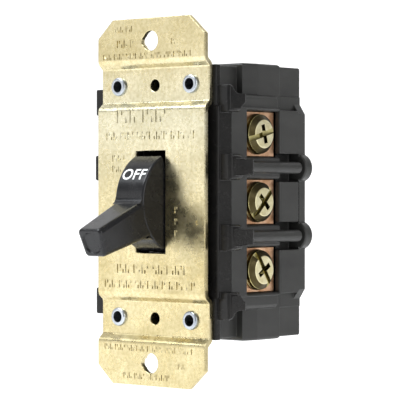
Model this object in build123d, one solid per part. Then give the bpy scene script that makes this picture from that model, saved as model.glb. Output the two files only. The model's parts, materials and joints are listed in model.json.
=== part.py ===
from build123d import *
import math
import os

# Three-pole toggle disconnect switch for a device box.  Units are millimetres.
# The origin is the centre of the toggle window on the front plane of the strap.
# +X is to the right, +Y goes into the wall, +Z is up.  The toggle rests at OFF, down.

# How far a cut runs past the face that it opens through
PAST = 1.0

# Mounting strap
STRAP_HALF_WIDTH = 18.65
STRAP_HALF_HEIGHT = 47.6
STRAP_THICKNESS = 1.4
STRAP_CORNER_X = 5.3
STRAP_CORNER_Z = 4.75
BAND_DEPTH = 1.77
BAND_INNER_Z = 25.1
BAND_OUTER_Z = 35.4
BAND_FOLD_RUN = 1.5
FOLD_INNER_R = 0.6
WINDOW_WIDTH = 10.3
WINDOW_HEIGHT = 26.4
MOUNTING_HOLE_SPACING = 83.34
MOUNTING_HOLE_R = 2.6
MOUNTING_NOTCH_R = 1.3
MOUNTING_NOTCH_X = -1.75
PLATE_SCREW_SPACING = 60.33
PLATE_SCREW_R = 1.55
PLATE_SCREW_COLLAR_R = 2.5
PLATE_SCREW_COLLAR_LENGTH = 1.3
COLLAR_CLEARANCE = 0.3

# Hollow rivets that hold the strap and the three mouldings together
RIVET_X = 12.5
RIVET_Z = PLATE_SCREW_SPACING / 2
RIVET_R = 1.95
RIVET_BORE_R = 1.5
RIVET_HEAD_R = 2.45
RIVET_HEAD_HEIGHT = 0.8
RIVET_HOLE_R = 2.0
RIVET_SINK_R = 3.2
RIVET_SINK_DEPTH = 1.4
REAR_HEAD_R = 2.9
RIVET_ROLL_R = 0.5

# Mouldings, from the front to the back
COVER_FRONT_Y = 3.17
COVER_REAR_Y = 8.4
BASE_REAR_Y = 28.1
BASE_END_REAR_Y = 30.2
PLATE_FRONT_Y = 36.0
HOUSING_REAR_Y = 39.0
BODY_HALF_WIDTH = 20.4
BODY_HALF_HEIGHT = 24.4
END_WALL_X = 19.6
END_WALL_Z = 27.8
END_WALL_R = 1.2
END_HALF_WIDTH = 18.65
END_HALF_HEIGHT = 35.5
END_PANEL_DEPTH = 0.35
PLATE_SHOULDER_Z = 25.8
PLATE_SLANT_Z = 23.2
END_BLOCK_Z = 23.9
FLANGE_X = 19.6
FLANGE_REAR_Y = 5.2
FLANGE_HALF_HEIGHT = 35.0
NECK_X = 15.5
NECK_REAR_Y = 16.2
COLUMN_FRONT_X = 17.5
COLUMN_SHOULDER_Y = 20.9
COLUMN_SHOULDER_R = 0.6
COLUMN_HALF_HEIGHT = 36.0
EDGE_R = 0.5
TOP_EDGE_R = 0.7

# Barrier ribs between the poles and the cover's fingers over them
RIB_Z = 8.95
RIB_THICKNESS = 3.1
RIB_REAR_Y = 34.9
RIB_X = 22.5
RIB_ROOT_X = 17.0
FINGER_FRONT_Y = 4.0
FINGER_X = 24.0
FINGER_HALF = 3.3
FINGER_TIP_Y = 13.7
FINGER_TIP_HALF = 1.95
FINGER_FLARE_Y = 10.6
FINGER_TIP_R = 1.2
END_FINGER_X = 23.5
END_FINGER_LOW_Z = 22.9
END_FINGER_HIGH_Z = 29.8
END_FINGER_TIP_Y = 11.0
END_FINGER_TIP_LOW_Z = 25.6
END_FINGER_TIP_HIGH_Z = 27.6
END_FINGER_R = 0.9
END_FINGER_HIGH_PULL = 0.7
END_FINGER_LOW_PULL = 1.0
GROOVE_HALF = 3.65
BLOCK_END_Z = 24.0
LOBE_R = 3.75
LOBE_X = 19.1
FIT_GAP = 0.05

# Poles and terminals
POLE_PITCH = 17.6
POLES = (("top", POLE_PITCH), ("middle", 0.0), ("bottom", -POLE_PITCH))
SIDES = (("right", 1), ("left", -1))
POCKET_FRONT_Y = 14.6
POCKET_HALF_HEIGHT = 5.95
POCKET_FLARE = 0.5
TERMINAL_FACE_X = 18.65
TERMINAL_THICKNESS = 1.2
TERMINAL_HALF_HEIGHT = 5.8
TERMINAL_REAR_Y = 27.65
TONGUE_INNER_X = 8.2
TONGUE_HALF_WIDTH = 3.0
CONTACT_Y = 20.3
CONTACT_X = 10.2
FIXED_TIP_R = 2.2
MOVING_TIP_R = 2.0
TIP_THICKNESS = 1.0
CLOSED_GAP = 0.05

# Terminal screws, size 10-32, with captive saddle washers
SCREW_R = 2.4
SCREW_HOLE_R = 2.47
SCREW_INNER_X = 14.6
SCREW_RELIEF_X = 14.1
SCREW_RELIEF_R = 2.7
WASHER_R = 5.3
WASHER_THICKNESS = 0.7
WASHER_BEVEL = 0.2
HEAD_R = 5.1
HEAD_RIM_HEIGHT = 0.9
HEAD_FACE_R = 3.6
HEAD_HEIGHT = 2.1
HEAD_EDGE_R = 0.25
SHANK_BEVEL = 0.5
SLOT_WIDTH = 1.35
SLOT_DEPTH = 1.2
CROSS_LENGTH = 5.0
CROSS_DEPTH = 1.35
SLOT_ANGLES = {"top": 15.0, "middle": 45.0, "bottom": -57.0}

# Toggle
PIVOT_Y = 5.1
LEVER_TILT = 21.0
BARREL_R = 13.25
BARREL_HALF_ANGLE = 84.0
BARREL_WIDTH = 9.7
BARREL_EDGE_R = 0.6
LEVER_LENGTH = 28.7
LEVER_ROOT = 11.5
LEVER_ROOT_HEIGHT = 9.7
LEVER_ROOT_TOP_WIDTH = 9.7
LEVER_ROOT_BOTTOM_WIDTH = 9.7
LEVER_TIP_HEIGHT = 7.4
LEVER_TIP_TOP_WIDTH = 8.2
LEVER_TIP_BOTTOM_WIDTH = 6.6
LEVER_EDGE_R = 1.2
LEVER_END_R = 0.8
LEVER_FLARE = 1.3
LEVER_FLARE_HALF_WIDTH = 4.6
DISH_RIM = 0.85
DISH_DEPTH = 0.45
DISH_CORNER_R = 2.3
HUB_R = 4.2
HUB_WIDTH = 8.8
HUB_RECESS_R = 4.6
PIN_R = 1.5
PIN_BORE_R = 1.55
PIN_HALF_LENGTH = 8.0
COVER_SLOT_X = 5.15
COVER_SLOT_Z = 14.4
PIVOT_WASHER_R = 3.5
PIVOT_WASHER_BORE_R = 1.6
PIVOT_WASHER_X = 4.55
PIVOT_WASHER_THICKNESS = 0.4

# Steel arm in the toggle's hub that drives the contact carrier
ARM_RADIUS = 8.0
ARM_TIP_R = 1.5
ARM_NECK = 1.6
ARM_ROOT = 2.4
ARM_HALF_WIDTH = 2.0
STROKE = 2 * ARM_RADIUS * math.sin(math.radians(LEVER_TILT))

# Contact carrier
CARRIER_HALF_WIDTH = 5.4
CARRIER_FRONT_Y = 14.0
CARRIER_REAR_Y = 24.7
CARRIER_TOP_Z = 29.5
CARRIER_BOTTOM_Z = -20.5
CAVITY_HALF_WIDTH = 5.7
CAVITY_TOP_Z = 30.1
CAVITY_BOTTOM_Z = -27.0
CAVITY_FRONT_Y = 13.7
YOKE_FRONT_Y = 11.3
YOKE_WALL = 2.2
RAIL_HALF_WIDTH = 4.5
RAIL_CLEARANCE = 0.25
RAIL_LOW_Z = -26.0
RAIL_HIGH_Z = 28.0
YOKE_HALF_WIDTH = 2.5
YOKE_SLOT_HALF = ARM_TIP_R + 0.12
YOKE_SLOT_FLOOR_Y = 15.0
BAR_HALF_LENGTH = 12.4
BAR_HALF_WIDTH = 2.5
BAR_THICKNESS = 1.2
BAR_CORNER_R = 1.2
WINDOW_SLACK = 0.1
SPRING_HEIGHT = 5.1
SPRING_R = 1.9
SPRING_WIRE_R = 0.25
SPRING_TURNS = 4
CHAMBER_HALF_WIDTH = 13.2
CHAMBER_FRONT_Y = 15.0
CHAMBER_TOP = 5.8

# Detent leaf spring between the base and the front of the carrier
DETENT_Z = 21.5
DETENT_HALF_LENGTH = 5.4
DETENT_HALF_WIDTH = 2.5
DETENT_THICKNESS = 0.35
DETENT_FOOT_Y = 11.9
DETENT_CREST_Y = 14.45
DETENT_POCKET_Y = 11.5
DETENT_SLACK = 0.2
DETENT_FOOT_LENGTH = 1.5
DETENT_SHOULDER_DROP = 0.8
DETENT_SHOULDER_Z = 1.4
TRACK_FLOOR_Y = 14.6
NOTCH_R = 1.2

TONGUE_BOTTOM = -TERMINAL_HALF_HEIGHT
FIXED_TIP_TOP = TONGUE_BOTTOM + TERMINAL_THICKNESS + TIP_THICKNESS
MOVING_TIP_BOTTOM = FIXED_TIP_TOP + CLOSED_GAP + STROKE
BAR_BOTTOM = MOVING_TIP_BOTTOM + TIP_THICKNESS
BAR_TOP = BAR_BOTTOM + BAR_THICKNESS
SPRING_TOP = BAR_TOP + SPRING_HEIGHT


def block(x0, x1, y0, y1, z0, z1):
    """A box between two opposite corners."""
    centre = Pos((x0 + x1) / 2, (y0 + y1) / 2, (z0 + z1) / 2)
    return centre * Box(x1 - x0, y1 - y0, z1 - z0)


def rod_x(radius, x0, x1, y, z):
    """A round rod along X."""
    return Pos((x0 + x1) / 2, y, z) * Rot(0, 90, 0) * Cylinder(radius, abs(x1 - x0))


def rod_y(radius, y0, y1, x, z):
    """A round rod along Y."""
    return Pos(x, (y0 + y1) / 2, z) * Rot(90, 0, 0) * Cylinder(radius, y1 - y0)


def rod_z(radius, z0, z1, x, y):
    """A round rod along Z."""
    return Pos(x, y, (z0 + z1) / 2) * Cylinder(radius, z1 - z0)


def prism_y(points, y0, y1):
    """Extrude an outline of (x, z) points from y0 to y1."""
    face = make_face(Polyline(*[(x, y0, z) for x, z in points], close=True))
    return extrude(face, amount=y1 - y0, dir=(0, 1, 0))


def prism_x(points, half_width):
    """Extrude an outline of (y, z) points to both sides of the middle plane."""
    face = make_face(Polyline(*[(-half_width, y, z) for y, z in points], close=True))
    return extrude(face, amount=2 * half_width, dir=(1, 0, 0))


def prism_z(points, z0, z1):
    """Extrude an outline of (x, y) points from z0 to z1."""
    face = make_face(Polyline(*[(x, y, z0) for x, y in points], close=True))
    return extrude(face, amount=z1 - z0, dir=(0, 0, 1))


def half_round(root_x, apex_x, radius, z, y0, y1):
    """A bar along Y whose outer edge is half round, from root_x out to apex_x."""
    centre_x = apex_x - radius
    body = block(root_x, centre_x, y0, y1, z - radius, z + radius)
    return body + rod_y(radius, y0, y1, centre_x, z)


def both_sides(solid):
    """A shape and its mirror image across the X = 0 plane."""
    return solid + mirror(solid, about=Plane.YZ)


def strap_profile(offset):
    """Points of the bent strip's side view, moved back from the front face by an offset."""
    run = BAND_FOLD_RUN / 2
    shift = offset * math.tan(math.atan2(BAND_DEPTH, BAND_FOLD_RUN) / 2)
    upper = [
        (offset, BAND_INNER_Z - run - shift),
        (BAND_DEPTH + offset, BAND_INNER_Z + run - shift),
        (BAND_DEPTH + offset, BAND_OUTER_Z - run + shift),
        (offset, BAND_OUTER_Z + run + shift),
        (offset, STRAP_HALF_HEIGHT),
    ]
    return [(y, -z) for y, z in reversed(upper)] + upper


def fold_radii(nearer, farther):
    """Radii along the strip's side: four folds at each end, convex and concave by turns."""
    return [nearer, farther, farther, nearer]


def bent_strip():
    """The strip with its rounded folds, before it is trimmed and pierced."""
    outer_r = FOLD_INNER_R + STRAP_THICKNESS
    sides = []
    for offset, radii in ((0, fold_radii(outer_r, FOLD_INNER_R)),
                          (STRAP_THICKNESS, fold_radii(FOLD_INNER_R, outer_r))):
        points = [(0, y, z) for y, z in strap_profile(offset)]
        sides.append(FilletPolyline(*points, radius=radii + radii))
    front, back = sides
    ends = [Line(front @ 0, back @ 0), Line(front @ 1, back @ 1)]
    face = make_face([front, back] + ends)
    return extrude(face, amount=STRAP_HALF_WIDTH, dir=(1, 0, 0), both=True)


def mounting_strap():
    """Bent steel strap with the toggle window and the mounting holes."""
    corner_x = STRAP_HALF_WIDTH - STRAP_CORNER_X
    corner_z = STRAP_HALF_HEIGHT - STRAP_CORNER_Z
    outline = [
        (-STRAP_HALF_WIDTH, -corner_z),
        (-corner_x, -STRAP_HALF_HEIGHT),
        (corner_x, -STRAP_HALF_HEIGHT),
        (STRAP_HALF_WIDTH, -corner_z),
        (STRAP_HALF_WIDTH, corner_z),
        (corner_x, STRAP_HALF_HEIGHT),
        (-corner_x, STRAP_HALF_HEIGHT),
        (-STRAP_HALF_WIDTH, corner_z),
    ]
    back_y = BAND_DEPTH + STRAP_THICKNESS
    strap = bent_strip() & prism_y(outline, -PAST, back_y + PAST)
    window = (WINDOW_WIDTH / 2, WINDOW_HEIGHT / 2)
    strap -= block(-window[0], window[0], -1, back_y, -window[1], window[1])
    for end in (1, -1):
        hole_z = end * MOUNTING_HOLE_SPACING / 2
        strap -= rod_y(MOUNTING_HOLE_R, -1, back_y, 0, hole_z)
        strap -= rod_y(MOUNTING_NOTCH_R, -1, back_y, MOUNTING_NOTCH_X, hole_z)
        screw_z = end * PLATE_SCREW_SPACING / 2
        collar_end = back_y + PLATE_SCREW_COLLAR_LENGTH
        strap += rod_y(PLATE_SCREW_COLLAR_R, back_y - 0.1, collar_end, 0, screw_z)
        strap -= rod_y(PLATE_SCREW_R, 0, collar_end + PAST, 0, screw_z)
        for side in (1, -1):
            strap -= rod_y(RIVET_HOLE_R, 0, back_y + PAST, side * RIVET_X, end * RIVET_Z)
    return strap


def cut_rivet_holes(solid):
    """Bore the four rivet holes through a moulding."""
    for x in (-RIVET_X, RIVET_X):
        for z in (-RIVET_Z, RIVET_Z):
            solid -= rod_y(RIVET_HOLE_R, 0, HOUSING_REAR_Y + PAST, x, z)
    return solid


def finger_stock(apex_x, tip_y, low_z, high_z, radius):
    """A block with rounded outer edges and tip, from which a finger is cut."""
    stock = block(NECK_X, apex_x, FINGER_FRONT_Y, tip_y, low_z, high_z)
    outer = stock.faces().sort_by(Axis.X)[-1].edges()
    return fillet(outer, radius)


def cover_finger():
    """Horn-shaped finger of the cover that sleeves the front of a barrier rib."""
    half = FINGER_HALF
    stock = finger_stock(FINGER_X, FINGER_TIP_Y, RIB_Z - half, RIB_Z + half, FINGER_TIP_R)
    finger = stock
    for side in (1, -1):
        start = (0, COVER_REAR_Y, RIB_Z + side * half)
        pull = (0, COVER_REAR_Y + FIT_GAP, RIB_Z + side * FINGER_TIP_HALF)
        bend = (0, FINGER_FLARE_Y, RIB_Z + side * FINGER_TIP_HALF)
        end = (0, FINGER_TIP_Y + PAST, RIB_Z + side * FINGER_TIP_HALF)
        corner = (0, FINGER_TIP_Y + PAST, RIB_Z + side * half)
        waste = make_face([Bezier(start, pull, bend), Line(bend, end), Line(end, corner),
                           Line(corner, start)])
        finger -= extrude(waste, amount=FINGER_X + PAST, dir=(1, 0, 0))
    finger -= block(NECK_X - PAST, BODY_HALF_WIDTH + FIT_GAP, COVER_REAR_Y, FINGER_TIP_Y + PAST,
                    0, 2 * RIB_Z)
    rib_r = RIB_THICKNESS / 2 + FIT_GAP
    finger -= half_round(NECK_X, RIB_X + FIT_GAP, rib_r, RIB_Z, COVER_REAR_Y, FINGER_TIP_Y + PAST)
    return finger


def end_finger():
    """Finger of the cover beside an end wall of the base, swept up into the flange."""
    stock = finger_stock(END_FINGER_X, END_FINGER_TIP_Y, END_FINGER_LOW_Z, END_FINGER_HIGH_Z,
                         END_FINGER_R)
    tip_y = END_FINGER_TIP_Y
    top_start = (0, FLANGE_REAR_Y, END_FINGER_HIGH_Z)
    top_pull = (0, FLANGE_REAR_Y + END_FINGER_HIGH_PULL, END_FINGER_TIP_HIGH_Z)
    top_bend = (0, COVER_REAR_Y, END_FINGER_TIP_HIGH_Z)
    top_end = (0, tip_y + PAST, END_FINGER_TIP_HIGH_Z)
    top_corner = (0, tip_y + PAST, END_FINGER_HIGH_Z + PAST)
    top_back = (0, FLANGE_REAR_Y, END_FINGER_HIGH_Z + PAST)
    above = make_face([Bezier(top_start, top_pull, top_bend), Line(top_bend, top_end),
                       Line(top_end, top_corner), Line(top_corner, top_back),
                       Line(top_back, top_start)])
    low_start = (0, COVER_REAR_Y, END_FINGER_LOW_Z)
    low_pull = (0, COVER_REAR_Y + FIT_GAP, END_FINGER_TIP_LOW_Z - END_FINGER_LOW_PULL)
    low_bend = (0, tip_y, END_FINGER_TIP_LOW_Z)
    low_end = (0, tip_y + PAST, END_FINGER_TIP_LOW_Z)
    low_corner = (0, tip_y + PAST, END_FINGER_LOW_Z)
    below = make_face([Bezier(low_start, low_pull, low_bend), Line(low_bend, low_end),
                       Line(low_end, low_corner), Line(low_corner, low_start)])
    finger = stock - extrude(above, amount=END_FINGER_X + PAST, dir=(1, 0, 0))
    finger -= extrude(below, amount=END_FINGER_X + PAST, dir=(1, 0, 0))
    wall = BODY_HALF_WIDTH + FIT_GAP
    finger -= block(NECK_X - PAST, wall, COVER_REAR_Y, tip_y + PAST,
                    END_FINGER_LOW_Z - PAST, END_FINGER_HIGH_Z)
    return finger


def front_cover():
    """Glossy front moulding with the toggle slot and the eight fingers."""
    slab = block(-BODY_HALF_WIDTH, BODY_HALF_WIDTH, COVER_FRONT_Y, COVER_REAR_Y,
                 -BODY_HALF_HEIGHT, BODY_HALF_HEIGHT)
    slab = fillet(slab.edges().filter_by(Axis.Z).sort_by(Axis.Y)[:2], EDGE_R)
    flange = block(-FLANGE_X, FLANGE_X, COVER_FRONT_Y, FLANGE_REAR_Y,
                   -FLANGE_HALF_HEIGHT, FLANGE_HALF_HEIGHT)
    flange = fillet(flange.edges().filter_by(Axis.Z), EDGE_R)
    flange = fillet(flange.edges().filter_by(Axis.X), EDGE_R / 2)
    neck = block(-NECK_X, NECK_X, COVER_FRONT_Y, COVER_REAR_Y,
                 -FLANGE_HALF_HEIGHT + EDGE_R, FLANGE_HALF_HEIGHT - EDGE_R)
    cover = slab + flange + neck
    for finger in (cover_finger(), end_finger()):
        pair = both_sides(finger)
        cover += pair + mirror(pair, about=Plane.XY)
    cover -= block(-COVER_SLOT_X, COVER_SLOT_X, COVER_FRONT_Y - PAST, COVER_REAR_Y + PAST,
                   -COVER_SLOT_Z, COVER_SLOT_Z)
    pin_r = PIN_R + FIT_GAP
    cover -= block(-PIN_HALF_LENGTH, PIN_HALF_LENGTH, PIVOT_Y, COVER_REAR_Y + PAST, -pin_r, pin_r)
    cover -= rod_x(pin_r, -PIN_HALF_LENGTH, PIN_HALF_LENGTH, PIVOT_Y, 0)
    for z in (-PLATE_SCREW_SPACING / 2, PLATE_SCREW_SPACING / 2):
        cover -= rod_y(PLATE_SCREW_COLLAR_R + COLLAR_CLEARANCE, 0, COVER_REAR_Y + PAST, 0, z)
    return cut_rivet_holes(cover)


def terminal_pocket(z):
    """Space for one terminal: side pocket, tongue slot and screw relief."""
    floor_x = TERMINAL_FACE_X - TERMINAL_THICKNESS
    pocket = block(floor_x, BODY_HALF_WIDTH + PAST, POCKET_FRONT_Y, BASE_REAR_Y + PAST,
                   z - POCKET_HALF_HEIGHT, z + POCKET_HALF_HEIGHT)
    slot_half = TONGUE_HALF_WIDTH + WINDOW_SLACK
    slot_top = z + TONGUE_BOTTOM + TERMINAL_THICKNESS + WINDOW_SLACK
    slot = block(CHAMBER_HALF_WIDTH - PAST, floor_x + PAST, CONTACT_Y - slot_half, CONTACT_Y + slot_half,
                 z + TONGUE_BOTTOM - FIT_GAP, slot_top)
    relief = rod_x(SCREW_RELIEF_R, SCREW_RELIEF_X, floor_x + PAST, CONTACT_Y, z)
    return pocket + pocket_flare(z) + slot + relief


def pocket_flare(z):
    """Bevelled lead-in along the top and bottom edges of a side pocket."""
    faces = []
    for side in (-1, 1):
        x = BODY_HALF_WIDTH + side * POCKET_FLARE
        grow = (1 + side) * POCKET_FLARE
        low, high = z - POCKET_HALF_HEIGHT - grow, z + POCKET_HALF_HEIGHT + grow
        corners = [(x, POCKET_FRONT_Y, low), (x, BASE_REAR_Y + PAST, low),
                   (x, BASE_REAR_Y + PAST, high), (x, POCKET_FRONT_Y, high)]
        faces.append(make_face(Polyline(*corners, close=True)))
    return loft(faces)


def end_columns():
    """Necked end sections of the base, which carry the rivets."""
    right = [
        (COLUMN_FRONT_X, NECK_REAR_Y),
        (END_HALF_WIDTH, COLUMN_SHOULDER_Y),
        (END_HALF_WIDTH, BASE_END_REAR_Y),
    ]
    outline = right + [(-x, y) for x, y in reversed(right)]
    column = prism_z(outline, -COLUMN_HALF_HEIGHT, COLUMN_HALF_HEIGHT)
    shoulders = column.edges().filter_by(Axis.Z).group_by(Axis.Y)[1]
    column = fillet(shoulders, COLUMN_SHOULDER_R)
    for end in (0, -1):
        column = fillet(column.faces().sort_by(Axis.Z)[end].edges(), TOP_EDGE_R)
    neck = block(-NECK_X, NECK_X, COVER_REAR_Y, NECK_REAR_Y + PAST,
                 -FLANGE_HALF_HEIGHT, FLANGE_HALF_HEIGHT)
    middle = block(-BODY_HALF_WIDTH, BODY_HALF_WIDTH, BASE_REAR_Y, BASE_END_REAR_Y + PAST,
                   -BODY_HALF_HEIGHT, BODY_HALF_HEIGHT)
    return column + neck - middle


def base_ribs():
    """Barrier ribs that run past the base into the rear cover's grooves, short of their floors."""
    radius = RIB_THICKNESS / 2
    rib = half_round(RIB_ROOT_X, RIB_X, radius, RIB_Z, COVER_REAR_Y, RIB_REAR_Y)
    ribs = both_sides(rib)
    return ribs + mirror(ribs, about=Plane.XY)


def base_housing():
    """Matte base with the terminal pockets, contact chambers and carrier guide."""
    body = block(-BODY_HALF_WIDTH, BODY_HALF_WIDTH, COVER_REAR_Y, BASE_REAR_Y,
                 -BODY_HALF_HEIGHT, BODY_HALF_HEIGHT)
    end_walls = block(-END_WALL_X, END_WALL_X, COVER_REAR_Y, BASE_REAR_Y,
                      -END_WALL_Z, END_WALL_Z)
    end_walls = fillet(end_walls.edges().filter_by(Axis.Y), END_WALL_R)
    base = body + end_walls + end_columns() + base_ribs()
    for _, z in POLES:
        base -= both_sides(terminal_pocket(z))
        base -= block(-CHAMBER_HALF_WIDTH, CHAMBER_HALF_WIDTH, CHAMBER_FRONT_Y, BASE_REAR_Y + PAST,
                      z + TONGUE_BOTTOM, z + CHAMBER_TOP)
    base -= block(-CAVITY_HALF_WIDTH, CAVITY_HALF_WIDTH, CAVITY_FRONT_Y, BASE_END_REAR_Y + PAST,
                  CAVITY_BOTTOM_Z, CAVITY_TOP_Z)
    base -= block(-CAVITY_HALF_WIDTH, CAVITY_HALF_WIDTH, COVER_REAR_Y - PAST, CAVITY_FRONT_Y + PAST,
                  -COVER_SLOT_Z, COVER_SLOT_Z)
    leaf_half = DETENT_HALF_WIDTH + DETENT_SLACK
    leaf_length = DETENT_HALF_LENGTH + DETENT_SLACK / 2
    base -= block(-leaf_half, leaf_half, DETENT_POCKET_Y, CAVITY_FRONT_Y + PAST,
                  DETENT_Z - leaf_length, DETENT_Z + leaf_length)
    for z in (-PLATE_SCREW_SPACING / 2, PLATE_SCREW_SPACING / 2):
        base -= rod_y(PLATE_SCREW_COLLAR_R - EDGE_R, COVER_REAR_Y - PAST, DETENT_POCKET_Y + EDGE_R, 0, z)
    keeper_y = PIVOT_Y + PIN_R + FIT_GAP
    keeper_half = PIN_R - FIT_GAP
    keeper = block(CAVITY_HALF_WIDTH, PIN_HALF_LENGTH, keeper_y, COVER_REAR_Y,
                   -keeper_half, keeper_half)
    base += both_sides(keeper)
    return cut_rivet_holes(base)


def rear_plate_outline():
    """Back view outline of the rear cover's plate, clockwise from the top right."""
    right = [
        (END_HALF_WIDTH, END_HALF_HEIGHT),
        (END_HALF_WIDTH, PLATE_SHOULDER_Z),
        (BODY_HALF_WIDTH, PLATE_SLANT_Z),
    ]
    lower = [(x, -z) for x, z in reversed(right)]
    half = right + lower
    return half + [(-x, z) for x, z in reversed(half)]


def rear_cover():
    """Rear moulding that closes the chambers and grips the ends of the ribs."""
    plate = prism_y(rear_plate_outline(), PLATE_FRONT_Y, HOUSING_REAR_Y)
    plate = fillet(plate.faces().sort_by(Axis.Y)[-1].edges(), EDGE_R)
    for x in (-LOBE_X, LOBE_X):
        for z in (-RIB_Z, RIB_Z):
            lobe = rod_y(LOBE_R, PLATE_FRONT_Y, HOUSING_REAR_Y, x, z)
            plate += fillet(lobe.edges().filter_by(GeomType.CIRCLE), EDGE_R)
    core = block(-RIB_ROOT_X + FIT_GAP, RIB_ROOT_X - FIT_GAP, BASE_REAR_Y, PLATE_FRONT_Y,
                 -BODY_HALF_HEIGHT, BODY_HALF_HEIGHT)
    cover = plate + core
    inner_z, outer_z = RIB_Z - GROOVE_HALF, RIB_Z + GROOVE_HALF
    for z0, z1 in ((outer_z, BLOCK_END_Z), (-inner_z, inner_z), (-BLOCK_END_Z, -outer_z)):
        rear_block = block(-BODY_HALF_WIDTH, BODY_HALF_WIDTH, BASE_REAR_Y, PLATE_FRONT_Y, z0, z1)
        cover += fillet(rear_block.edges().filter_by(Axis.Z).group_by(Axis.Y)[0], TOP_EDGE_R)
    for end in (1, -1):
        z_near = end * END_BLOCK_Z
        z_far = end * END_HALF_HEIGHT
        cover += block(-END_HALF_WIDTH, END_HALF_WIDTH, BASE_END_REAR_Y, PLATE_FRONT_Y,
                       min(z_near, z_far), max(z_near, z_far))
        panel = block(END_HALF_WIDTH - END_PANEL_DEPTH, END_HALF_WIDTH + PAST, BASE_END_REAR_Y - PAST,
                      HOUSING_REAR_Y + PAST, END_WALL_Z, END_HALF_HEIGHT + PAST)
        panels = both_sides(panel)
        cover -= panels if end > 0 else mirror(panels, about=Plane.XY)
    cover += block(-RAIL_HALF_WIDTH, RAIL_HALF_WIDTH, CARRIER_REAR_Y + RAIL_CLEARANCE, BASE_END_REAR_Y,
                   RAIL_LOW_Z, RAIL_HIGH_Z)
    cover = cut_rivet_holes(cover)
    for x in (-RIVET_X, RIVET_X):
        for z in (-RIVET_Z, RIVET_Z):
            cover -= rod_y(RIVET_SINK_R, HOUSING_REAR_Y - RIVET_SINK_DEPTH, HOUSING_REAR_Y + PAST, x, z)
    return cover


def hollow_rivet(x, z):
    """One tubular rivet, rolled over at both ends."""
    front = BAND_DEPTH - RIVET_HEAD_HEIGHT
    rear = HOUSING_REAR_Y - RIVET_SINK_DEPTH + RIVET_HEAD_HEIGHT
    head = rod_y(RIVET_HEAD_R, front, BAND_DEPTH, x, z)
    head = fillet(head.edges().sort_by(Axis.Y)[0], RIVET_ROLL_R)
    tail = rod_y(REAR_HEAD_R, HOUSING_REAR_Y - RIVET_SINK_DEPTH, rear, x, z)
    tail = fillet(tail.edges().sort_by(Axis.Y)[-1], RIVET_ROLL_R)
    tube = rod_y(RIVET_R, BAND_DEPTH, HOUSING_REAR_Y - RIVET_SINK_DEPTH, x, z)
    return head + tube + tail - rod_y(RIVET_BORE_R, front - PAST, rear + PAST, x, z)


def hollow_rivets():
    """The four identical rivets."""
    return [hollow_rivet(x, z) for x in (-RIVET_X, RIVET_X) for z in (-RIVET_Z, RIVET_Z)]


def tilted(shape):
    """Turn a shape drawn along -Y at the pivot down to the OFF position."""
    return Pos(0, PIVOT_Y, 0) * Rot(LEVER_TILT, 0, 0) * shape


def toggle_barrel():
    """Half-round barrel of the toggle, drawn along -Y about the pivot axis."""
    reach = 2 * BARREL_R
    angle = math.radians(BARREL_HALF_ANGLE)
    wedge = [
        (0, 0),
        (-reach * math.cos(angle), reach * math.sin(angle)),
        (-reach, reach),
        (-reach, -reach),
        (-reach * math.cos(angle), -reach * math.sin(angle)),
    ]
    drum = rod_x(BARREL_R, -BARREL_WIDTH / 2, BARREL_WIDTH / 2, 0, 0)
    drum = fillet(drum.edges().filter_by(GeomType.CIRCLE), BARREL_EDGE_R)
    barrel = drum & prism_x(wedge, BARREL_WIDTH)
    for side in (1, -1):
        barrel -= rod_x(HUB_RECESS_R, side * HUB_WIDTH / 2, side * BARREL_WIDTH, 0, 0)
    return barrel + rod_x(HUB_R, -HUB_WIDTH / 2, HUB_WIDTH / 2, 0, 0)


def lever_section(distance, top_width, bottom_width, height, radius):
    """Rounded section across the lever at a distance from the pivot, drawn along -Y."""
    half = height / 2
    corners = [
        (-top_width / 2, -distance, half),
        (top_width / 2, -distance, half),
        (bottom_width / 2, -distance, -half),
        (-bottom_width / 2, -distance, -half),
    ]
    face = make_face(Polyline(*corners, close=True))
    return fillet(face.vertices(), radius)


def toggle_lever():
    """Tapered lever of the toggle with a shallow dish in its end, drawn along -Y."""
    root = lever_section(LEVER_ROOT, LEVER_ROOT_TOP_WIDTH, LEVER_ROOT_BOTTOM_WIDTH,
                         LEVER_ROOT_HEIGHT, LEVER_EDGE_R)
    tip = lever_section(LEVER_LENGTH, LEVER_TIP_TOP_WIDTH, LEVER_TIP_BOTTOM_WIDTH,
                        LEVER_TIP_HEIGHT, LEVER_EDGE_R)
    lever = loft([root, tip])
    lever = fillet(lever.faces().sort_by(Axis.Y)[0].edges(), LEVER_END_R)
    rim = 2 * DISH_RIM
    mouth = lever_section(LEVER_LENGTH, LEVER_TIP_TOP_WIDTH - rim, LEVER_TIP_BOTTOM_WIDTH - rim,
                          LEVER_TIP_HEIGHT - rim, DISH_CORNER_R)
    floor_rim = rim + 2 * DISH_DEPTH
    floor = lever_section(LEVER_LENGTH - DISH_DEPTH, LEVER_TIP_TOP_WIDTH - floor_rim,
                          LEVER_TIP_BOTTOM_WIDTH - floor_rim, LEVER_TIP_HEIGHT - floor_rim,
                          DISH_CORNER_R - DISH_DEPTH)
    return lever - loft([mouth, floor])


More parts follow.
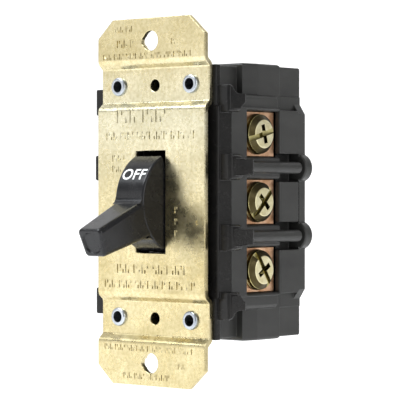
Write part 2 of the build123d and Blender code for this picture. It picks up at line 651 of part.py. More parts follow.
def lever_flare():
    """Concave web between the barrel and the top of the lever, drawn along -Y."""
    half = LEVER_ROOT_HEIGHT / 2
    slope = (LEVER_ROOT_HEIGHT - LEVER_TIP_HEIGHT) / 2 / (LEVER_LENGTH - LEVER_ROOT)
    corner_angle = math.asin(half / BARREL_R)
    corner_y = BARREL_R * math.cos(corner_angle)
    far_angle = corner_angle + LEVER_FLARE / BARREL_R
    x = -LEVER_FLARE_HALF_WIDTH
    corner = (x, -corner_y, half)
    on_lever = (x, -corner_y - LEVER_FLARE, half - slope * (corner_y + LEVER_FLARE - LEVER_ROOT))
    on_barrel = (x, -BARREL_R * math.cos(far_angle), BARREL_R * math.sin(far_angle))
    inside = (x, -LEVER_ROOT, half - LEVER_EDGE_R)
    face = make_face([Bezier(on_lever, corner, on_barrel), Line(on_barrel, inside),
                      Line(inside, on_lever)])
    return extrude(face, amount=2 * LEVER_FLARE_HALF_WIDTH, dir=(1, 0, 0))


def toggle_handle():
    """Toggle moulding: lever, barrel and hub, with the pin bore and arm slot."""
    handle = toggle_barrel() + toggle_lever()
    flare = lever_flare()
    handle += flare + mirror(flare, about=Plane.XY)
    handle -= rod_x(PIN_BORE_R, -BARREL_WIDTH, BARREL_WIDTH, 0, 0)
    handle -= arm_blank()
    return tilted(handle)


def arm_blank():
    """Steel arm drawn along +Y from the hub, round at its driving end."""
    neck = block(-ARM_HALF_WIDTH, ARM_HALF_WIDTH, ARM_ROOT, ARM_RADIUS, -ARM_NECK / 2, ARM_NECK / 2)
    return neck + rod_x(ARM_TIP_R, -ARM_HALF_WIDTH, ARM_HALF_WIDTH, ARM_RADIUS, 0)


def toggle_arm():
    """The driving arm at the OFF position."""
    return tilted(arm_blank())


def toggle_pivot_pin():
    """Steel pin across the toggle's hub."""
    return rod_x(PIN_R, -PIN_HALF_LENGTH + FIT_GAP, PIN_HALF_LENGTH - FIT_GAP, PIVOT_Y, 0)


def pivot_washers():
    """Friction washers on the pin, one on each side of the hub."""
    inner = PIVOT_WASHER_X
    outer = inner + PIVOT_WASHER_THICKNESS
    washers = []
    for side in (1, -1):
        ring = rod_x(PIVOT_WASHER_R, side * inner, side * outer, PIVOT_Y, 0)
        ring -= rod_x(PIVOT_WASHER_BORE_R, side * inner, side * outer, PIVOT_Y, 0)
        washers.append(ring)
    return washers


def contact_carrier():
    """Insulating slide that the toggle arm pushes along Z, with three bar windows."""
    carrier = block(-CARRIER_HALF_WIDTH, CARRIER_HALF_WIDTH, CARRIER_FRONT_Y, CARRIER_REAR_Y,
                    CARRIER_BOTTOM_Z, CARRIER_TOP_Z)
    yoke_z = STROKE / 2
    yoke_half = YOKE_SLOT_HALF + YOKE_WALL
    carrier += block(-YOKE_HALF_WIDTH, YOKE_HALF_WIDTH, YOKE_FRONT_Y, CARRIER_FRONT_Y,
                     yoke_z - yoke_half, yoke_z + yoke_half)
    carrier -= block(-YOKE_HALF_WIDTH, YOKE_HALF_WIDTH, YOKE_FRONT_Y - PAST, YOKE_SLOT_FLOOR_Y,
                     yoke_z - YOKE_SLOT_HALF, yoke_z + YOKE_SLOT_HALF)
    bar_half = BAR_HALF_WIDTH + WINDOW_SLACK
    for _, z in POLES:
        carrier -= block(-CARRIER_HALF_WIDTH - PAST, CARRIER_HALF_WIDTH + PAST, CONTACT_Y - bar_half,
                         CONTACT_Y + bar_half, z + BAR_BOTTOM, z + SPRING_TOP)
    track_half = DETENT_HALF_WIDTH + 0.3
    track_bottom = DETENT_Z - NOTCH_R
    track_top = DETENT_Z + STROKE + NOTCH_R
    carrier -= block(-track_half, track_half, CARRIER_FRONT_Y - PAST, TRACK_FLOOR_Y,
                     track_bottom, track_top)
    for z in (DETENT_Z, DETENT_Z + STROKE):
        carrier -= rod_x(NOTCH_R, -track_half, track_half, TRACK_FLOOR_Y, z)
    return carrier


def detent_spring():
    """Bowed leaf spring whose crest rides in the carrier's detent track."""
    half = DETENT_HALF_LENGTH
    crest = DETENT_CREST_Y - DETENT_THICKNESS
    start = (0, DETENT_FOOT_Y, DETENT_Z - half)
    foot_in = (0, DETENT_FOOT_Y, DETENT_Z - half + DETENT_FOOT_LENGTH)
    shoulder = (0, crest - DETENT_SHOULDER_DROP, DETENT_Z - DETENT_SHOULDER_Z)
    top = (0, crest, DETENT_Z)
    shoulder_out = (0, crest - DETENT_SHOULDER_DROP, DETENT_Z + DETENT_SHOULDER_Z)
    foot_out = (0, DETENT_FOOT_Y, DETENT_Z + half - DETENT_FOOT_LENGTH)
    end = (0, DETENT_FOOT_Y, DETENT_Z + half)
    path = Polyline(start, foot_in, shoulder, top, shoulder_out, foot_out, end)
    points = [(v.Y, v.Z) for v in [path @ 0] + [edge @ 1 for edge in path.edges()]]
    outline = points + [(y + DETENT_THICKNESS, z) for y, z in reversed(points)]
    return prism_x(outline, DETENT_HALF_WIDTH)


def contact_bar(z):
    """Copper bridge across both fixed contacts of one pole."""
    bar = block(-BAR_HALF_LENGTH, BAR_HALF_LENGTH, CONTACT_Y - BAR_HALF_WIDTH,
                CONTACT_Y + BAR_HALF_WIDTH, z + BAR_BOTTOM, z + BAR_TOP)
    return fillet(bar.edges().filter_by(Axis.Z), BAR_CORNER_R)


def moving_tips(z):
    """Silver tips under both ends of one bar."""
    return [rod_z(MOVING_TIP_R, z + MOVING_TIP_BOTTOM, z + BAR_BOTTOM, x, CONTACT_Y)
            for x in (-CONTACT_X, CONTACT_X)]


def contact_spring(z):
    """Coil spring that presses one bar down in its window."""
    lift = SPRING_WIRE_R + 0.02
    height = SPRING_HEIGHT - 2 * lift
    helix = Helix(pitch=height / SPRING_TURNS, height=height, radius=SPRING_R)
    section = Plane(helix @ 0, z_dir=helix % 0) * Circle(SPRING_WIRE_R)
    spring = sweep(section, path=helix, is_frenet=True)
    return Pos(0, CONTACT_Y, z + BAR_TOP + lift) * spring


def terminal(side, z):
    """Copper terminal: screw plate outside, contact tongue inside."""
    face = TERMINAL_FACE_X
    inner = face - TERMINAL_THICKNESS
    plate = block(inner, face, POCKET_FRONT_Y + FIT_GAP, TERMINAL_REAR_Y,
                  z - TERMINAL_HALF_HEIGHT, z + TERMINAL_HALF_HEIGHT)
    tongue = block(TONGUE_INNER_X, face, CONTACT_Y - TONGUE_HALF_WIDTH, CONTACT_Y + TONGUE_HALF_WIDTH,
                   z + TONGUE_BOTTOM, z + TONGUE_BOTTOM + TERMINAL_THICKNESS)
    solid = plate + tongue - rod_x(SCREW_HOLE_R, inner - PAST, face + PAST, CONTACT_Y, z)
    return solid if side > 0 else mirror(solid, about=Plane.YZ)


def fixed_contact(side, z):
    """Silver tip on top of a terminal's tongue."""
    bottom = z + TONGUE_BOTTOM + TERMINAL_THICKNESS
    return rod_z(FIXED_TIP_R, bottom, bottom + TIP_THICKNESS, side * CONTACT_X, CONTACT_Y)


def saddle_washer(side, z):
    """Captive round clamp washer under a terminal screw's head."""
    inner = TERMINAL_FACE_X + FIT_GAP
    outer = inner + WASHER_THICKNESS
    washer = rod_x(WASHER_R, inner, outer, CONTACT_Y, z)
    washer = chamfer(washer.edges().sort_by(Axis.X)[-1], WASHER_BEVEL)
    washer -= rod_x(SCREW_HOLE_R, inner - PAST, outer + PAST, CONTACT_Y, z)
    return washer if side > 0 else mirror(washer, about=Plane.YZ)


def terminal_screw(side, z, angle):
    """Binding-head screw: round rim, sloped shoulder, flat face with a slot and cross recess."""
    under = TERMINAL_FACE_X + WASHER_THICKNESS + 2 * FIT_GAP
    face = under + HEAD_HEIGHT
    head = rod_x(HEAD_R, under, face, CONTACT_Y, z)
    head = chamfer(head.edges().sort_by(Axis.X)[-1], HEAD_HEIGHT - HEAD_RIM_HEIGHT,
                   HEAD_R - HEAD_FACE_R)
    head = fillet(head.edges().filter_by(GeomType.CIRCLE).sort_by(Axis.X)[-2:], HEAD_EDGE_R)
    shank = rod_x(SCREW_R, SCREW_INNER_X, under, CONTACT_Y, z)
    shank = chamfer(shank.edges().sort_by(Axis.X)[0], SHANK_BEVEL)
    slot = block(face - SLOT_DEPTH, face + PAST, -HEAD_R, HEAD_R, -SLOT_WIDTH / 2, SLOT_WIDTH / 2)
    half_cross = CROSS_LENGTH / 2
    arm = block(face - CROSS_DEPTH, face + PAST, -SLOT_WIDTH / 2, SLOT_WIDTH / 2, -half_cross, half_cross)
    recess = Pos(0, CONTACT_Y, z) * Rot(angle, 0, 0) * (slot + arm)
    screw = head + shank - recess
    return screw if side > 0 else mirror(screw, about=Plane.YZ)


def write(name, shape):
    """Write one node, a solid or a list of separate solids, as a STEP file."""
    solids = shape if isinstance(shape, list) else [shape]
    export_step(Compound(label=name, children=[s for item in solids for s in item.solids()]),
                "parts/" + name + ".step")


def main():
    os.makedirs("parts", exist_ok=True)
    write("mounting_strap", mounting_strap())
    write("front_cover", front_cover())
    write("base_housing", base_housing())
    write("rear_cover", rear_cover())
    write("hollow_rivets", hollow_rivets())
    write("toggle_handle", toggle_handle())
    write("toggle_arm", toggle_arm())
    write("toggle_pivot_pin", toggle_pivot_pin())
    write("pivot_washers", pivot_washers())
    write("contact_carrier", contact_carrier())
    write("detent_spring", detent_spring())
    for pole, z in POLES:
        write("contact_bar_" + pole, contact_bar(z))
        write("moving_tips_" + pole, moving_tips(z))
        write("contact_spring_" + pole, contact_spring(z))
        for side_name, side in SIDES:
            place = side_name + "_" + pole
            write("terminal_" + place, terminal(side, z))
            write("fixed_contact_" + place, fixed_contact(side, z))
            write("saddle_washer_" + place, saddle_washer(side, z))
            write("terminal_screw_" + place, terminal_screw(side, z, SLOT_ANGLES[pole]))


main()
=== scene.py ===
import json
import math

import bmesh
import bpy
from mathutils import Matrix, Vector


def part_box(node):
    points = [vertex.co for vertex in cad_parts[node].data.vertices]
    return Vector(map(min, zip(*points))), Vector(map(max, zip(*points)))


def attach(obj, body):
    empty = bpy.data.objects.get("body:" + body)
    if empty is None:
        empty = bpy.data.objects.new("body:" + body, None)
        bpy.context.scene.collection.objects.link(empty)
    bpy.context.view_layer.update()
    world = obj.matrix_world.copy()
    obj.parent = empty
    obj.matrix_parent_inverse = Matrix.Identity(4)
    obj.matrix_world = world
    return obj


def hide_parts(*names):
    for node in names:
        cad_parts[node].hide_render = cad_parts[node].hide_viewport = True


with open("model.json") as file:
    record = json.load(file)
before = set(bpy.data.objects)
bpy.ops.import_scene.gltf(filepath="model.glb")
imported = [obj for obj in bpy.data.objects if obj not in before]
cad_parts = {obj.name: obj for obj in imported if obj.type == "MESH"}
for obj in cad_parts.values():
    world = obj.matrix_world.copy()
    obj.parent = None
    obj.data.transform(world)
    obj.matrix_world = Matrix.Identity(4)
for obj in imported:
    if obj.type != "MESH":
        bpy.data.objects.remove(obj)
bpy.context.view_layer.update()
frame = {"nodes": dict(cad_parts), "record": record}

MM = 0.001
CENTIMETRE = 10 * MM

# The view, 41 degrees to the right of straight on and almost level, through a long lens
VIEW_AZIMUTH = math.radians(41.0)
VIEW_DROP = math.radians(0.285)
CAMERA_PLACE = (0.3592, -0.3936, 0.00317)
SENSOR_WIDTH = 36.0
LENS = 185.7

# The floor, level in front and curved up behind the object
FLOOR_HEIGHT = -0.12
FLOOR_FRONT = -3.0
FLOOR_BEND = 1.2
FLOOR_BEND_R = 0.5
FLOOR_BEND_STEPS = 12
FLOOR_HALF_WIDTH = 4
FLOOR_TOP = 3.0

# Rounded edges: their widths on the pieces in view, and what counts as flat or sharp
EDGE_WIDTHS = {"front_cover": 0.18 * MM, "base_housing": 0.16 * MM, "rear_cover": 0.18 * MM}
TERMINAL_EDGE = 0.14 * MM
STRAP_EDGE = 0.22 * MM
WELD_DISTANCE = 0.001 * MM
FLAT_ANGLE = math.radians(1)
ROUNDED_ANGLE = math.radians(40)
SHARP_ANGLE = math.radians(38)

# The toggle, which the position marks are wrapped on
PIVOT = Vector((0, 5.1, 0)) * MM
BARREL_R = 13.25 * MM
LEVER_TILT = math.radians(21.0)
OFF_ANGLE = math.radians(53.0)
ON_ANGLE = math.radians(-64.0)
MARK_HEIGHT = 3.1 * MM
MARK_THICKNESS = 0.03 * MM
MARK_WEIGHT = 0.06 * MM
MARK_BANDS = 16
CAPITAL_HEIGHT = 0.7

# Strokes of the stamping, as shares of a row's height
STAMP_DEPTH = 0.20 * MM
STROKE_PITCH = 0.42
STROKE_WIDTH = 0.19
SHORT_STROKE = 0.42
SHORT_STROKE_SHIFT = 0.29

# Stamped rows on the strap: left end, right end, middle height and stroke height, in millimetres
STAMPED_ROWS = (
    (-12.6, -5.8, 45.0, 1.5),
    (-12.0, -5.4, 41.2, 1.9),
    (7.0, 9.0, 41.2, 1.5),
    (-16.8, 14.6, 37.9, 1.5),
    (-12.2, 7.6, 22.4, 3.6),
    (-15.8, 15.4, 17.2, 2.0),
    (-13.6, -8.4, 11.4, 1.6),
    (-13.6, -9.4, 8.6, 1.6),
    (8.2, 10.2, -2.0, 1.6),
    (8.2, 10.2, -5.0, 1.6),
    (8.2, 10.2, -8.0, 1.6),
    (-12.0, 12.6, -17.4, 2.3),
    (-16.4, 15.6, -21.4, 2.0),
    (-16.4, 14.6, -38.0, 1.5),
    (-9.6, 7.4, -45.2, 1.5),
    (9.4, 12.4, -42.0, 1.3),
)
DIMPLES = ((16.1, -5.2), (-16.4, 26.6))
DIMPLE_R = 0.55 * MM
DIMPLE_DEPTH = 0.25 * MM

# Painted shade and light on the screw's deeper parts, by depth below its face, as shares of its bright
# face's colour
SHOULDER_PAINTED_SHADE = (0.08, 0.07, 0.05)
SLOT_FLOOR_PAINTED_LIGHT = (0.80, 0.78, 0.55)
RIM_PAINTED_SHADE = (0.12, 0.11, 0.03)


# ---------------------------------------------------------------- material helpers

class Paint:
    """A node material with short calls for the textures used here."""

    def __init__(self, name):
        self.material = bpy.data.materials.new(name)
        self.material.use_nodes = True
        self.nodes = self.material.node_tree.nodes
        self.links = self.material.node_tree.links
        self.shader = self.nodes["Principled BSDF"]
        self.place = self.nodes.new("ShaderNodeTexCoord").outputs["Object"]

    def set(self, **values):
        """Set constants on the shader, with underscores for the spaces in their names."""
        for name, value in values.items():
            self.shader.inputs[name.replace("_", " ")].default_value = value

    def stretched(self, x, y, z):
        """Object coordinates scaled apart on each axis."""
        node = self.nodes.new("ShaderNodeMapping")
        node.inputs["Scale"].default_value = (x, y, z)
        self.links.new(self.place, node.inputs["Vector"])
        return node.outputs["Vector"]

    def noise(self, scale, detail=3.0, roughness=0.55, place=None):
        node = self.nodes.new("ShaderNodeTexNoise")
        node.inputs["Scale"].default_value = scale
        node.inputs["Detail"].default_value = detail
        node.inputs["Roughness"].default_value = roughness
        self.links.new(place or self.place, node.inputs["Vector"])
        return node.outputs["Fac"]

    def ramp(self, value, *stops):
        """Colours or greys at positions along a value."""
        node = self.nodes.new("ShaderNodeValToRGB")
        elements = node.color_ramp.elements
        while len(elements) < len(stops):
            elements.new(0.5)
        for element, (position, colour) in zip(elements, stops):
            element.position = position
            grey = isinstance(colour, (int, float))
            element.color = (colour, colour, colour, 1) if grey else (*colour, 1)
        self.links.new(value, node.inputs["Fac"])
        return node.outputs["Color"]

    def mix(self, factor, a, b, kind="MIX"):
        node = self.nodes.new("ShaderNodeMix")
        node.data_type = "RGBA"
        node.blend_type = kind
        for socket, value in ((0, factor), (6, a), (7, b)):
            if isinstance(value, bpy.types.NodeSocket):
                self.links.new(value, node.inputs[socket])
            elif isinstance(value, (int, float)):
                node.inputs[socket].default_value = value
            else:
                node.inputs[socket].default_value = (*value, 1)
        return node.outputs[2]

    def along(self, axis, low, high):
        """How far a point is from low to high along one axis, from 0 to 1."""
        split = self.nodes.new("ShaderNodeSeparateXYZ")
        self.links.new(self.place, split.inputs[0])
        node = self.nodes.new("ShaderNodeMapRange")
        node.inputs["From Min"].default_value = low
        node.inputs["From Max"].default_value = high
        self.links.new(split.outputs[axis], node.inputs["Value"])
        return node.outputs["Result"]

    def from_face(self, face_x):
        """How far inside a pair of planes at plus and minus face_x a point is, in centimetres, up to 1."""
        split = self.nodes.new("ShaderNodeSeparateXYZ")
        self.links.new(self.place, split.inputs[0])
        outward = self.nodes.new("ShaderNodeMath")
        outward.operation = "ABSOLUTE"
        self.links.new(split.outputs["X"], outward.inputs[0])
        node = self.nodes.new("ShaderNodeMapRange")
        node.inputs["From Min"].default_value = face_x
        node.inputs["From Max"].default_value = face_x - CENTIMETRE
        self.links.new(outward.outputs[0], node.inputs["Value"])
        return node.outputs["Result"]

    def scaled(self, value, factor):
        node = self.nodes.new("ShaderNodeMath")
        node.operation = "MULTIPLY"
        node.inputs[1].default_value = factor
        self.links.new(value, node.inputs[0])
        return node.outputs[0]

    def bump(self, height, strength, distance):
        node = self.nodes.new("ShaderNodeBump")
        node.inputs["Strength"].default_value = strength
        node.inputs["Distance"].default_value = distance
        self.links.new(height, node.inputs["Height"])
        self.links.new(node.outputs["Normal"], self.shader.inputs["Normal"])

    def link(self, value, name):
        self.links.new(value, self.shader.inputs[name])


# ---------------------------------------------------------------- materials

def strap_plating(name="strap_plating", residue_and_shade=0.0):
    """Pale gold zinc plating: satin, mottled, brushed along its width, with a lighter band of painted
    sheen across the upper plate, and darkened by a given share that stands for residue and painted shade
    in stamped recesses.
    """
    paint = Paint(name)
    cloud = paint.noise(70, detail=6, roughness=0.6)
    gold = paint.ramp(cloud, (0.30, (0.50, 0.42, 0.22)), (0.66, (0.65, 0.57, 0.35)))
    pale = paint.ramp(cloud, (0.30, (0.57, 0.53, 0.37)), (0.66, (0.71, 0.67, 0.51)))
    # Painted highlight: a lighter, whiter band across the upper plate, strongest about 21 mm above the
    # middle, stands in for the lamps' reflection
    height = paint.along("Z", -48 * MM, 48 * MM)
    painted_sheen_band = paint.ramp(height, (0.45, 0.0), (0.72, 1.0), (0.82, 0.6), (0.90, 0.1))
    tone = paint.mix(painted_sheen_band, gold, pale)
    specks = paint.noise(1100, detail=4, roughness=0.7)
    mottle = paint.ramp(specks, (0.36, (0.74, 0.71, 0.60)), (0.58, (1, 1, 1)))
    tone = paint.mix(0.75, tone, mottle, "MULTIPLY")
    stain = paint.ramp(paint.noise(230, detail=5, roughness=0.7), (0.58, 0.0), (0.78, 1.0))
    tone = paint.mix(paint.scaled(stain, 0.45), tone, (0.46, 0.34, 0.14))
    # Residue and painted shade: the given share darkens the plating towards brown, and the stamped
    # recesses use a share of 0.8
    paint.link(paint.mix(residue_and_shade, tone, (0.20, 0.14, 0.05)), "Base Color")
    paint.link(paint.ramp(paint.noise(320, detail=4), (0.3, 0.20), (0.7, 0.36)), "Roughness")
    drawn = paint.noise(2200, detail=2, place=paint.stretched(0.10, 1, 1))
    pebble = paint.noise(1500, detail=3, roughness=0.7)
    paint.bump(paint.mix(0.5, drawn, pebble), 0.40, 0.00005)
    paint.set(Metallic=1.0)
    return paint.material


def moulding(name, dark, light, low, high, specular):
    """Moulded phenolic: almost even colour, faint flow lines, dust in patches, fine mould texture."""
    paint = Paint(name)
    flow = paint.noise(160, detail=4, place=paint.stretched(1, 0.35, 1))
    colour = paint.ramp(flow, (0.3, dark), (0.75, light))
    dust = paint.ramp(paint.noise(1400, detail=5, roughness=0.75), (0.64, 0.0), (0.80, 1.0))
    paint.link(paint.mix(paint.scaled(dust, 0.12), colour, (0.10, 0.095, 0.09)), "Base Color")
    paint.link(paint.ramp(paint.noise(300, detail=3), (0.3, low), (0.7, high)), "Roughness")
    paint.bump(paint.noise(2500, detail=2), 0.14, 0.00003)
    paint.set(Specular_IOR_Level=specular)
    return paint.material


def metal(name, dark, light, low, high, grain=1800, stretch=(1, 1, 1), stain=None):
    """Plain metal with colour drift, fine marks and, where it is handled or heated, a stain."""
    paint = Paint(name)
    colour = paint.ramp(paint.noise(350, detail=4), (0.3, dark), (0.7, light))
    if stain:
        patches = paint.ramp(paint.noise(260, detail=4, roughness=0.65), (0.48, 0.0), (0.66, 1.0))
        colour = paint.mix(paint.scaled(patches, 0.7), colour, stain)
    paint.link(colour, "Base Color")
    paint.link(paint.ramp(paint.noise(700, detail=3), (0.3, low), (0.7, high)), "Roughness")
    paint.bump(paint.noise(grain, detail=3, place=paint.stretched(*stretch)), 0.3, 0.00004)
    paint.set(Metallic=1.0)
    return paint.material


def screw_brass(face_x):
    """Turned brass with a pale polished face; painted shade by depth turns the shoulder olive and the rim
    dark, with lighter painted light on the slot floor.
    """
    paint = Paint("screw_brass")
    bright = paint.ramp(paint.noise(420, detail=4), (0.3, (0.66, 0.58, 0.32)), (0.7, (0.88, 0.82, 0.56)))
    # Painted shade by depth below the face: olive on the shoulder, lighter on the slot floor, dark at the
    # rim
    shade = paint.ramp(paint.from_face(face_x), (0.003, (1, 1, 1)),
                       (0.010, SHOULDER_PAINTED_SHADE), (0.110, SHOULDER_PAINTED_SHADE),
                       (0.117, SLOT_FLOOR_PAINTED_LIGHT), (0.126, SLOT_FLOOR_PAINTED_LIGHT), (0.133, RIM_PAINTED_SHADE))
    paint.link(paint.mix(1.0, bright, shade, "MULTIPLY"), "Base Color")
    paint.link(paint.ramp(paint.noise(800), (0.3, 0.26), (0.7, 0.42)), "Roughness")
    paint.bump(paint.noise(1600, detail=3), 0.35, 0.00005)
    paint.set(Metallic=1.0)
    return paint.material


def mark_paint():
    """White filled-in marks, a little worn."""
    paint = Paint("mark_paint")
    wear = paint.noise(1500, detail=3)
    worn = paint.ramp(wear, (0.30, (0.62, 0.63, 0.62)), (0.50, (0.90, 0.91, 0.90)))
    paint.link(worn, "Base Color")
    paint.set(Roughness=0.5)
    return paint.material


def make_materials():
    """One material for each slot of the record."""
    return {
        "strap_plating": strap_plating(),
        "cover_phenolic": moulding("cover_phenolic", (0.007, 0.007, 0.007), (0.013, 0.012, 0.011),
                                   0.18, 0.30, 0.20),
        "base_phenolic": moulding("base_phenolic", (0.018, 0.018, 0.017), (0.032, 0.032, 0.030),
                                  0.34, 0.50, 0.38),
        "toggle_plastic": moulding("toggle_plastic", (0.006, 0.006, 0.007), (0.012, 0.012, 0.013),
                                   0.20, 0.30, 0.32),
        "carrier_plastic": moulding("carrier_plastic", (0.16, 0.06, 0.03), (0.24, 0.10, 0.05),
                                    0.4, 0.6, 0.4),
        "rivet_steel": metal("rivet_steel", (0.34, 0.37, 0.41), (0.54, 0.57, 0.60), 0.24, 0.38),
        "plain_steel": metal("plain_steel", (0.45, 0.45, 0.46), (0.6, 0.6, 0.61), 0.25, 0.4),
        "spring_steel": metal("spring_steel", (0.35, 0.35, 0.37), (0.5, 0.5, 0.52), 0.25, 0.35),
        "terminal_copper": metal("terminal_copper", (0.60, 0.33, 0.18), (0.84, 0.56, 0.37), 0.3, 0.45,
                                 stain=(0.38, 0.16, 0.06)),
        "contact_copper": metal("contact_copper", (0.68, 0.32, 0.18), (0.84, 0.48, 0.32), 0.3, 0.45),
        "contact_silver": metal("contact_silver", (0.7, 0.69, 0.66), (0.86, 0.85, 0.82), 0.25, 0.4),
        "washer_bronze": metal("washer_bronze", (0.13, 0.10, 0.045), (0.34, 0.27, 0.13), 0.26, 0.42,
                               grain=2600, stretch=(1, 1, 0.15), stain=(0.05, 0.04, 0.02)),
        "screw_brass": screw_brass(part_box("terminal_screw_right_top")[1][0]),
    }


# ---------------------------------------------------------------- stage

def aim(obj, target):
    direction = Vector(target) - obj.location
    obj.rotation_euler = direction.to_track_quat("-Z", "Y").to_euler()


def area_light(name, place, target, size, power, colour=(1, 1, 1)):
    data = bpy.data.lights.new(name, "AREA")
    data.shape = "RECTANGLE"
    data.size, data.size_y = size
    data.energy = power
    data.color = colour
    light = bpy.data.objects.new(name, data)
    light.location = place
    bpy.context.scene.collection.objects.link(light)
    aim(light, target)


def make_camera():
    """The camera at the photograph's viewing angle."""
    data = bpy.data.cameras.new("camera")
    data.sensor_width = SENSOR_WIDTH
    data.lens = LENS
    data.clip_start = 0.01
    data.clip_end = 20.0
    camera = bpy.data.objects.new("camera", data)
    camera.location = CAMERA_PLACE
    camera.rotation_euler = (math.radians(90) - VIEW_DROP, 0, VIEW_AZIMUTH)
    bpy.context.scene.collection.objects.link(camera)
    bpy.context.scene.camera = camera


def make_stage():
    """A plain pale floor that curves up behind the object."""
    mesh = bpy.data.meshes.new("floor")
    bm = bmesh.new()
    profile = [(FLOOR_FRONT, FLOOR_HEIGHT), (FLOOR_BEND, FLOOR_HEIGHT)]
    for step in range(1, FLOOR_BEND_STEPS + 1):
        angle = math.radians(90 * step / FLOOR_BEND_STEPS)
        run = FLOOR_BEND_R * math.sin(angle)
        rise = FLOOR_BEND_R - FLOOR_BEND_R * math.cos(angle)
        profile.append((FLOOR_BEND + run, FLOOR_HEIGHT + rise))
    profile.append((FLOOR_BEND + FLOOR_BEND_R, FLOOR_TOP))
    turn = Matrix.Rotation(VIEW_AZIMUTH, 4, "Z")
    sides = (-FLOOR_HALF_WIDTH, FLOOR_HALF_WIDTH)
    rows = [[bm.verts.new(turn @ Vector((x, y, z))) for x in sides] for y, z in profile]
    for (a, b), (c, d) in zip(rows, rows[1:]):
        bm.faces.new((a, b, d, c)).smooth = True
    bm.to_mesh(mesh)
    bm.free()
    floor = bpy.data.objects.new("floor", mesh)
    bpy.context.scene.collection.objects.link(floor)
    paint = Paint("floor_paper")
    paint.link(paint.ramp(paint.noise(6), (0.3, 0.88), (0.7, 0.92)), "Base Color")
    paint.set(Roughness=0.9, Emission_Color=(1, 1, 1, 1), Emission_Strength=0.55)
    mesh.materials.append(paint.material)


def make_lights():
    world = bpy.data.worlds.new("studio")
    world.use_nodes = True
    background = world.node_tree.nodes["Background"]
    background.inputs["Color"].default_value = (1, 1, 1, 1)
    background.inputs["Strength"].default_value = 0.38
    bpy.context.scene.world = world
    area_light("key", (-0.46, -0.52, 0.06), (0, 0, 0.01), (0.32, 0.32), 0.36)
    area_light("right_fill", (0.9, -0.1, 0.25), (0, 0, 0), (0.5, 0.6), 2.6)
    area_light("top", (-0.25, -0.40, 0.62), (0, 0, 0), (0.5, 0.5), 8, (0.92, 0.96, 1))
    bpy.context.scene.view_settings.view_transform = "Standard"


# ---------------------------------------------------------------- pieces

def painted(mesh, *materials):
    """The mesh with these materials in its slots, and no others."""
    mesh.materials.clear()
    for material in materials:
        mesh.materials.append(material)
    return mesh


def new_object(name, mesh):
    piece = bpy.data.objects.new(name, mesh)
    bpy.context.scene.collection.objects.link(piece)
    return piece


def rounded_edges(piece, width):
    """Weld the split corners and round every sharp edge by a width."""
    weld = piece.modifiers.new("weld", "WELD")
    weld.merge_threshold = WELD_DISTANCE
    flat = piece.modifiers.new("flat_faces", "DECIMATE")
    flat.decimate_type = "DISSOLVE"
    flat.angle_limit = FLAT_ANGLE
    bevel = piece.modifiers.new("edges", "BEVEL")
    bevel.width = width
    bevel.segments = 2
    bevel.limit_method = "ANGLE"
    bevel.angle_limit = ROUNDED_ANGLE
    bevel.use_clamp_overlap = False


def even_shading(piece):
    """Let the large faces set the normals, so that flat faces stay flat beside rounded edges."""
    normals = piece.modifiers.new("normals", "WEIGHTED_NORMAL")
    normals.mode = "FACE_AREA"
    normals.weight = 100
    normals.keep_sharp = True


def frozen(piece):
    """The piece's mesh with its modifiers applied, smooth but for its sharp edges."""
    graph = bpy.context.evaluated_depsgraph_get()
    mesh = bpy.data.meshes.new_from_object(piece.evaluated_get(graph))
    piece.modifiers.clear()
    piece.data = mesh
    mesh.set_sharp_from_angle(angle=SHARP_ANGLE)
    even_shading(piece)
    return piece


def add_box(bm, x, z, width, height, low, high):
    """A box centred at x, z across the strap, from low to high in depth."""
    size = Matrix.Diagonal((width, high - low, height, 1))
    place = Matrix.Translation((x, (low + high) / 2, z))
    bmesh.ops.create_cube(bm, size=1.0, matrix=place @ size)


def stamp_row(bm, left, right, z, height):
    """One row of plain strokes: groups of upright bars, full height or short, high or low."""
    pitch = STROKE_PITCH * height
    stroke = STROKE_WIDTH * height
    count = int((right - left) / pitch)
    for index in range(count):
        if index % 7 == 5:
            continue
        full = (index * index) % 3 != 1
        tall = height if full else SHORT_STROKE * height
        lift = 0 if full else (SHORT_STROKE_SHIFT if index % 2 else -SHORT_STROKE_SHIFT) * height
        x = (left + (index + 0.5) * pitch) * MM
        add_box(bm, x, (z + lift) * MM, stroke * MM, tall * MM, -MM, STAMP_DEPTH)


def stamp_cutter(materials):
    """Everything that is pressed into the front of the strap, as one cutting mesh."""
    bm = bmesh.new()
    for row in STAMPED_ROWS:
        stamp_row(bm, *row)
    upright = Matrix.Rotation(math.radians(90), 4, "X")
    for x, z in DIMPLES:
        place = Matrix.Translation((x * MM, 0, z * MM))
        bmesh.ops.create_cone(bm, cap_ends=True, segments=20, radius1=DIMPLE_R, radius2=DIMPLE_R,
                              depth=2 * DIMPLE_DEPTH, matrix=place @ upright)
    # The cut faces take the second material, whose darkening stands for residue and painted shade in the
    # recesses
    for face in bm.faces:
        face.material_index = 1
    mesh = bpy.data.meshes.new("stamps")
    bm.to_mesh(mesh)
    bm.free()
    return new_object("stamps", painted(mesh, *materials))


def stamped_strap(*materials):
    """The strap with rounded edges and generic stamped rows, in the plain plating and, in the recesses, a
    copy darkened by residue and painted shade.
    """
    plain = frame["nodes"]["mounting_strap"].data.copy()
    strap = new_object("stamped_strap", painted(plain, *materials))
    rounded_edges(strap, STRAP_EDGE)
    cutter = stamp_cutter(materials)
    cut = strap.modifiers.new("stamps", "BOOLEAN")
    cut.operation = "DIFFERENCE"
    cut.solver = "EXACT"
    cut.object = cutter
    frozen(strap)
    bpy.data.objects.remove(cutter)
    return strap


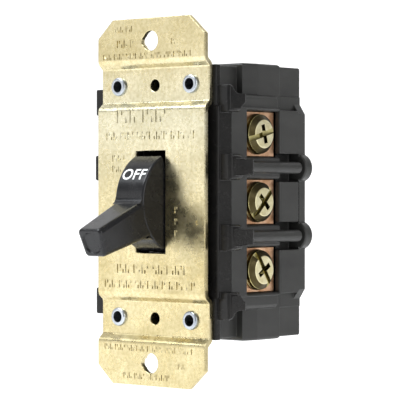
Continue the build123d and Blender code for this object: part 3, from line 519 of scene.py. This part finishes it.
def wrapped_word(name, word, angle):
    """A raised word around the toggle's barrel, with its middle at an angle above the lever."""
    text = bpy.data.curves.new(name, "FONT")
    text.body = word
    text.size = MARK_HEIGHT / CAPITAL_HEIGHT
    text.align_x = "CENTER"
    text.align_y = "CENTER"
    text.space_character = 1.05
    text.offset = MARK_WEIGHT
    flat = new_object(name + "_flat", text)
    mesh = bpy.data.meshes.new_from_object(flat.evaluated_get(bpy.context.evaluated_depsgraph_get()))
    bpy.data.objects.remove(flat)
    bm = bmesh.new()
    bm.from_mesh(mesh)
    for band in range(1, MARK_BANDS):
        level = MARK_HEIGHT * (band / MARK_BANDS - 0.5)
        everything = bm.verts[:] + bm.edges[:] + bm.faces[:]
        bmesh.ops.bisect_plane(bm, geom=everything, plane_co=(0, level, 0), plane_no=(0, 1, 0))
    out = BARREL_R + MARK_THICKNESS
    for vert in bm.verts:
        turn = angle - LEVER_TILT + vert.co.y / BARREL_R
        vert.co = Vector((vert.co.x, PIVOT.y - out * math.cos(turn), out * math.sin(turn)))
    bm.normal_update()
    bm.to_mesh(mesh)
    bm.free()
    piece = new_object(name, mesh)
    thick = piece.modifiers.new("thickness", "SOLIDIFY")
    thick.thickness = 2 * MARK_THICKNESS
    return frozen(piece)


def finish_cad_nodes(materials):
    """Give each CAD node the material of its slot, and round the edges of the pieces in view."""
    terminals = [name for name in frame["nodes"] if name.startswith(("terminal_right", "terminal_left"))]
    widths = {**EDGE_WIDTHS, **dict.fromkeys(terminals, TERMINAL_EDGE)}
    for part in frame["record"]["subparts"]:
        node = frame["nodes"][part["node"]]
        painted(node.data, materials[part["material_slot"]])
        if part["node"] in widths:
            rounded_edges(node, widths[part["node"]])
            even_shading(node)


make_camera()
make_stage()
make_lights()
paints = make_materials()
finish_cad_nodes(paints)

# The second material darkens the stamped recesses with residue and painted shade
strap_piece = stamped_strap(paints["strap_plating"], strap_plating("stamp_residue_and_shade_plating", 0.8))
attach(strap_piece, "housing")
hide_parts("mounting_strap")

white = mark_paint()
for mark_name, mark_word, mark_angle in (("off_mark", "OFF", OFF_ANGLE), ("on_mark", "ON", ON_ANGLE)):
    mark = wrapped_word(mark_name, mark_word, mark_angle)
    painted(mark.data, white)
    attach(mark, "toggle")
